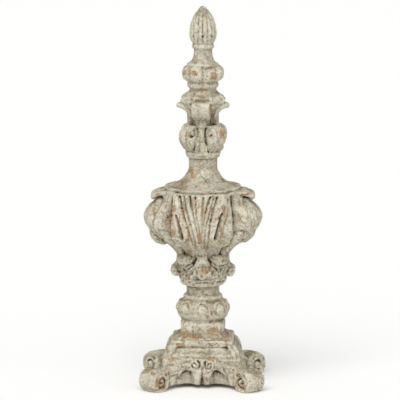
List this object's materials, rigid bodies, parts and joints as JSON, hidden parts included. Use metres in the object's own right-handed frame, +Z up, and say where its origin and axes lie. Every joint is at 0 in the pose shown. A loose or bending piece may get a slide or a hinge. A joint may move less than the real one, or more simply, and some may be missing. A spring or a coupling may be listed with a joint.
{
  "type": "garden finial",
  "caption": "Tall carved garden finial with a leafy basket body, stacked turned stages and a square scroll-footed base, in an aged white cast finish.",
  "frame": {"origin": "on the ground plane, in the middle between the four feet", "axes": "+Z up along the finial's axis, -Y to the front face, +X to the right"},
  "size_m": [0.2464, 0.2464, 0.76],
  "materials": {
    "aged_white_composite": "matt, pitted and antiqued, with dirt and rust-brown stain in the hollows"
  },
  "bodies": {
    "root": {"finial": "aged_white_composite"}
  },
  "joints": []
}
